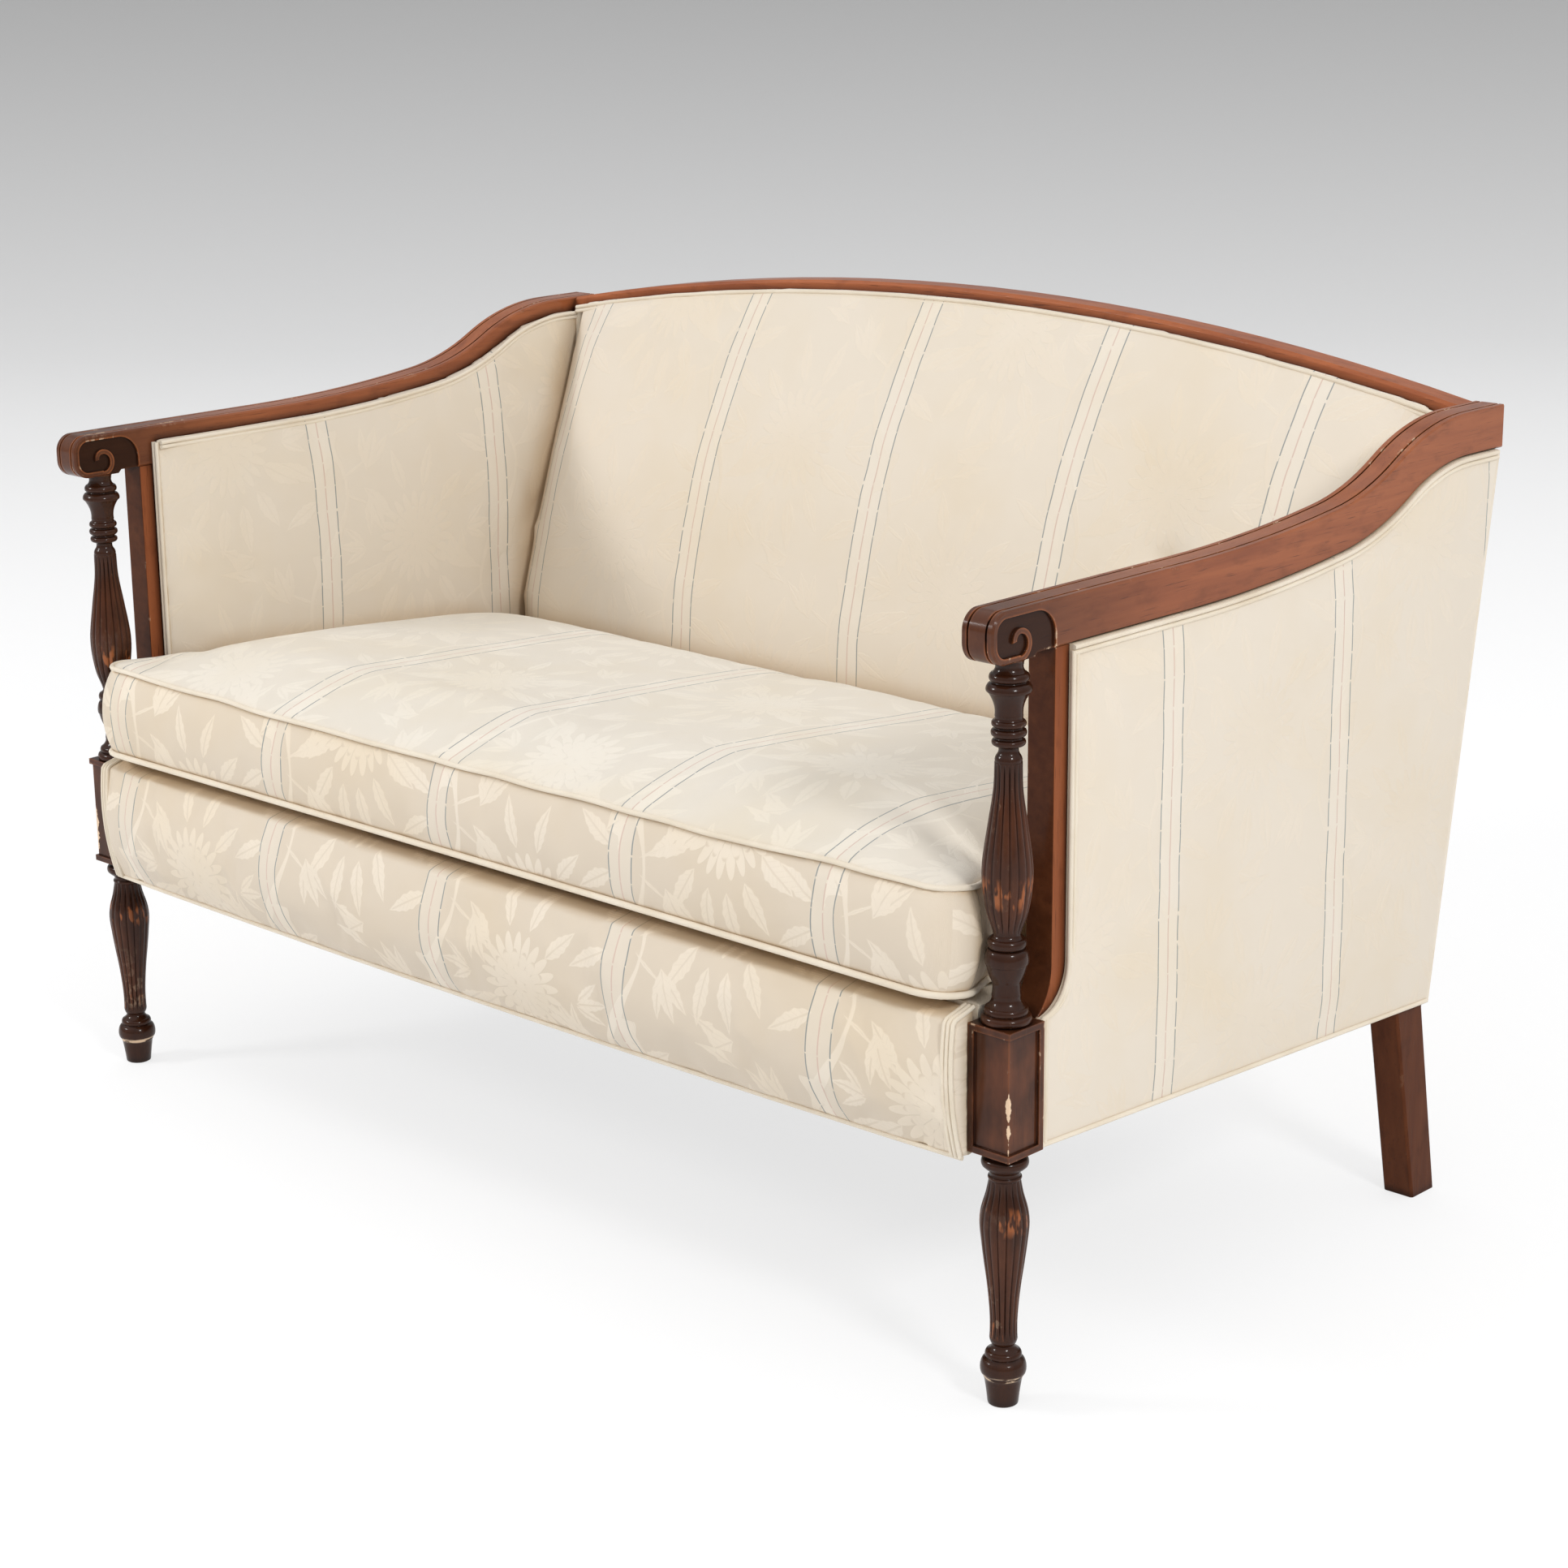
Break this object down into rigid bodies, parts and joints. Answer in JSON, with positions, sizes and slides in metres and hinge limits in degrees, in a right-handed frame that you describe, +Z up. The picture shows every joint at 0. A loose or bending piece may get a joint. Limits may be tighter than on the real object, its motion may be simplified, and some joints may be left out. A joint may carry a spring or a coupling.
{
  "type": "settee",
  "caption": "Two-seat settee with turned reeded front posts, scrolled arms, arched crest, raked upholstered back and a loose boxed seat cushion, for sitting side by side",
  "frame": {"origin": "centre of the bounding box in plan, on the floor", "axes": "+X along the seat to the sitter's left, +Y from front to back, +Z up"},
  "size_m": [1.2646, 0.7607, 0.8171],
  "materials": {
    "show_wood": "polished mahogany",
    "frame_wood": "plain sawn hardwood",
    "webbing": "woven jute",
    "upholstery": "cream damask",
    "dust_cloth": "thin black cambric"
  },
  "bodies": {
    "frame": {"front_post_right": "show_wood", "front_post_left": "show_wood", "arm_rail_right": "show_wood", "arm_rail_left": "show_wood", "crest_rail": "show_wood", "back_post_right": "show_wood", "back_post_left": "show_wood", "arm_stump_right": "show_wood", "arm_stump_left": "show_wood", "lower_back_rail": "frame_wood", "back_stay": "frame_wood", "front_seat_rail": "frame_wood", "back_seat_rail": "frame_wood", "side_seat_rail_right": "frame_wood", "side_seat_rail_left": "frame_wood", "lower_arm_rail_right": "frame_wood", "lower_arm_rail_left": "frame_wood", "seat_cross_brace": "frame_wood", "corner_blocks": "frame_wood", "arm_dowels": "frame_wood", "seat_webbing": "webbing", "seat_cross_webbing": "webbing", "back_webbing": "webbing", "seat_deck": "upholstery", "front_apron": "upholstery", "inside_back": "upholstery", "outside_back": "upholstery", "inside_arm_right": "upholstery", "inside_arm_left": "upholstery", "outside_arm_right": "upholstery", "outside_arm_left": "upholstery", "dust_cover": "dust_cloth"},
    "cushion": {"seat_cushion": "upholstery", "cushion_welts": "upholstery"}
  },
  "joints": [
    {"name": "cushion_lift", "type": "slide", "parent": "frame", "child": "cushion", "axis": [0, 0, 1], "range_m": [0, 0.5]}
  ]
}
